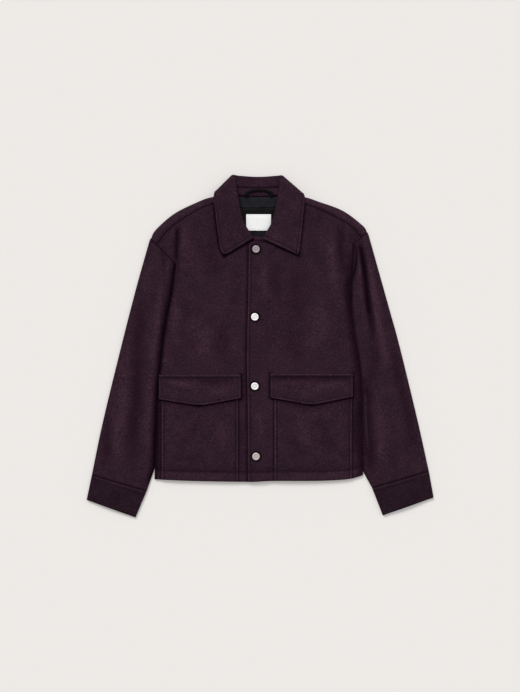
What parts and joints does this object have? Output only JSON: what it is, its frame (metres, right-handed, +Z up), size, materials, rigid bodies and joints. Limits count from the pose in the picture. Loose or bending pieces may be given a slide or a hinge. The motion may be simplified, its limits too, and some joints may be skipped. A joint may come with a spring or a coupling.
{
  "type": "utility jacket",
  "caption": "Boxy utility jacket in heavy wool, laid flat on its back with the front closed: turned-down collar, press studs, patch pockets under pointed flaps and banded cuffs.",
  "frame": {"origin": "middle of the jacket's outline, on the surface it lies on", "axes": "+Z up from the surface and out of the front, +Y towards the collar, +X to the right as seen from above"},
  "size_m": [0.795, 0.7867, 0.0205],
  "materials": {
    "wool": "milled wool with a short nap",
    "lining": "satin lining",
    "label": "woven satin",
    "stud_metal": "polished"
  },
  "bodies": {
    "root": {"back": "wool", "front_left": "wool", "front_right": "wool", "yoke_left": "wool", "yoke_right": "wool", "sleeve_left": "wool", "sleeve_right": "wool", "cuff_left": "wool", "cuff_right": "wool", "pocket_left": "wool", "pocket_right": "wool", "flap_left": "wool", "flap_right": "wool", "collar_fall": "wool", "collar_stand": "wool", "stud_1": "stud_metal", "stud_2": "stud_metal", "stud_3": "stud_metal", "stud_4": "stud_metal", "lining_yoke": "lining", "lining_back": "lining", "label": "label", "hanger_loop": "lining"}
  },
  "joints": []
}
